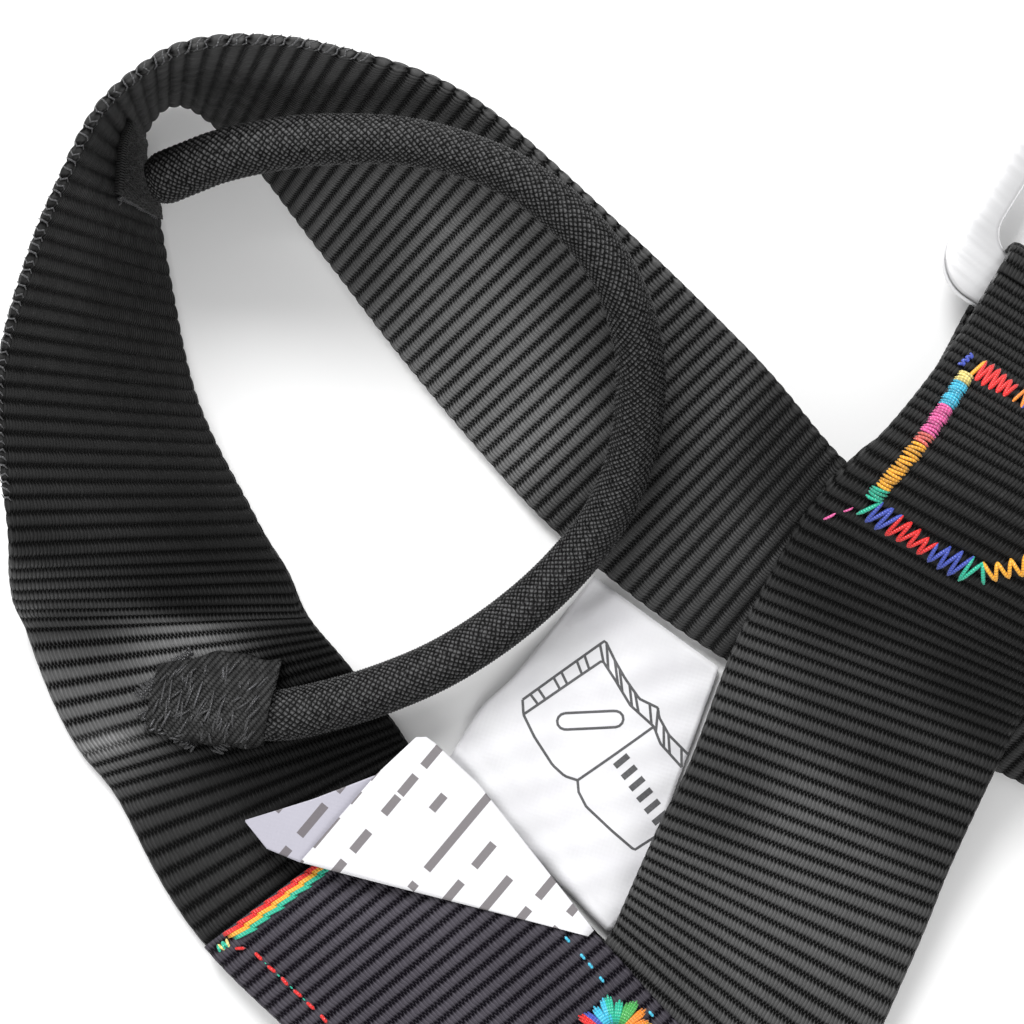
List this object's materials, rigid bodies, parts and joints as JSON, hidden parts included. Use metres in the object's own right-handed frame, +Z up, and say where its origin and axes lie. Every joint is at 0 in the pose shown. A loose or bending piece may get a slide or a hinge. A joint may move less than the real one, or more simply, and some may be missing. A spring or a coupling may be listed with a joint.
{
  "type": "tree climbing saddle",
  "caption": "Webbing climbing saddle laid open: waist belt ring with gear loops, risers, leg loops and steel quick-connect buckles.",
  "frame": {"origin": "middle of the saddle's base, on the surface that it lies on", "axes": "+X along the waist belt towards the wearer's right as laid, +Y from the belt's front to the leg loops, +Z up"},
  "size_m": [0.477, 0.404, 0.0451],
  "materials": {
    "webbing": "heavy ribbed polyester webbing, satin",
    "patch_webbing": "close black bar-tacking over folded tape",
    "braided_cord": "stiff braided cord",
    "keeper_elastic": "woven elastic",
    "label_tape": "white satin tape",
    "stitching": "multicoloured satin thread",
    "buckle_steel": "bright satin plate"
  },
  "bodies": {
    "waist_belt": {"waist_webbing": "webbing", "left_front_reinforcement": "webbing", "right_front_reinforcement": "webbing", "left_riser_root": "webbing", "right_riser_root": "webbing", "left_gear_loop_front_patch": "patch_webbing", "left_gear_loop_hip_patch": "patch_webbing", "right_gear_loop_front_patch": "patch_webbing", "right_gear_loop_hip_patch": "patch_webbing", "care_label": "label_tape"},
    "leg_yoke": {"left_riser": "webbing", "right_riser": "webbing", "crotch_bridge": "webbing"},
    "attachment_loop": {"attachment_loop": "webbing"},
    "waist_frame": {"waist_frame": "buckle_steel"},
    "waist_tongue": {"waist_tongue": "buckle_steel"},
    "spec_label": {"spec_label": "label_tape"},
    "left_leg_frame": {"left_leg_frame": "buckle_steel"},
    "left_leg_loop": {"left_leg_webbing": "webbing"},
    "left_leg_tongue": {"left_leg_tongue": "buckle_steel"},
    "left_leg_keeper": {"left_leg_keeper": "keeper_elastic"},
    "left_gear_loop": {"left_gear_loop": "braided_cord"},
    "right_leg_frame": {"right_leg_frame": "buckle_steel"},
    "right_leg_loop": {"right_leg_webbing": "webbing"},
    "right_leg_tongue": {"right_leg_tongue": "buckle_steel"},
    "right_leg_keeper": {"right_leg_keeper": "keeper_elastic"},
    "right_gear_loop": {"right_gear_loop": "braided_cord"}
  },
  "joints": [
    {"name": "leg_yoke_fold", "type": "hinge", "parent": "waist_belt", "child": "leg_yoke", "pos_m": [0, -0.1404, 0.00358], "axis": [1, 0, 0], "range_deg": [0, 85]},
    {"name": "attachment_loop_swing", "type": "hinge", "parent": "leg_yoke", "child": "attachment_loop", "pos_m": [0, -0.0085, 0.00758], "axis": [1, 0, 0], "range_deg": [0, 110]},
    {"name": "waist_frame_swing", "type": "hinge", "parent": "waist_belt", "child": "waist_frame", "pos_m": [-0.044, -0.169, 0.00758], "axis": [0, -1, 0], "range_deg": [0, 110]},
    {"name": "waist_tongue_swing", "type": "hinge", "parent": "waist_belt", "child": "waist_tongue", "pos_m": [0.044, -0.169, 0.00758], "axis": [0, 1, 0], "range_deg": [0, 100]},
    {"name": "spec_label_flap", "type": "hinge", "parent": "waist_belt", "child": "spec_label", "pos_m": [-0.1192, -0.1394, 0.00738], "axis": [-0.9695, 0.2451, 0], "range_deg": [0, 80]},
    {"name": "left_leg_frame_swing", "type": "hinge", "parent": "leg_yoke", "child": "left_leg_frame", "pos_m": [-0.097, -0.021, 0.00758], "axis": [0.9903, 0.1392, 0], "range_deg": [0, 110]},
    {"name": "left_leg_loop_fold", "type": "hinge", "parent": "leg_yoke", "child": "left_leg_loop", "pos_m": [-0.03461, -0.01223, 0.00758], "axis": [0.9903, 0.1392, 0], "range_deg": [0, 100]},
    {"name": "left_leg_tongue_swing", "type": "hinge", "parent": "left_leg_loop", "child": "left_leg_tongue", "pos_m": [-0.1173, 0.0608, 0.00758], "axis": [-0.9272, -0.3746, 0], "range_deg": [0, 90]},
    {"name": "left_leg_keeper_slide", "type": "slide", "parent": "left_leg_loop", "child": "left_leg_keeper", "axis": [-0.3746, 0.9272, 0], "range_m": [0, 0.008]},
    {"name": "left_gear_loop_swing", "type": "hinge", "parent": "waist_belt", "child": "left_gear_loop", "pos_m": [-0.2263, -0.0952, 0.02458], "axis": [0.7704, -0.6066, -0.1964], "range_deg": [0, 55]},
    {"name": "right_leg_frame_swing", "type": "hinge", "parent": "leg_yoke", "child": "right_leg_frame", "pos_m": [0.097, -0.021, 0.00758], "axis": [0.9903, -0.1392, 0], "range_deg": [0, 110]},
    {"name": "right_leg_loop_fold", "type": "hinge", "parent": "leg_yoke", "child": "right_leg_loop", "pos_m": [0.03461, -0.01223, 0.00758], "axis": [0.9903, -0.1392, 0], "range_deg": [0, 100]},
    {"name": "right_leg_tongue_swing", "type": "hinge", "parent": "right_leg_loop", "child": "right_leg_tongue", "pos_m": [0.1173, 0.0608, 0.00758], "axis": [-0.9272, 0.3746, 0], "range_deg": [0, 90]},
    {"name": "right_leg_keeper_slide", "type": "slide", "parent": "right_leg_loop", "child": "right_leg_keeper", "axis": [0.3746, 0.9272, 0], "range_m": [0, 0.008]},
    {"name": "right_gear_loop_swing", "type": "hinge", "parent": "waist_belt", "child": "right_gear_loop", "pos_m": [0.2263, -0.0952, 0.02458], "axis": [0.7704, 0.6066, 0.1964], "range_deg": [0, 55]}
  ]
}
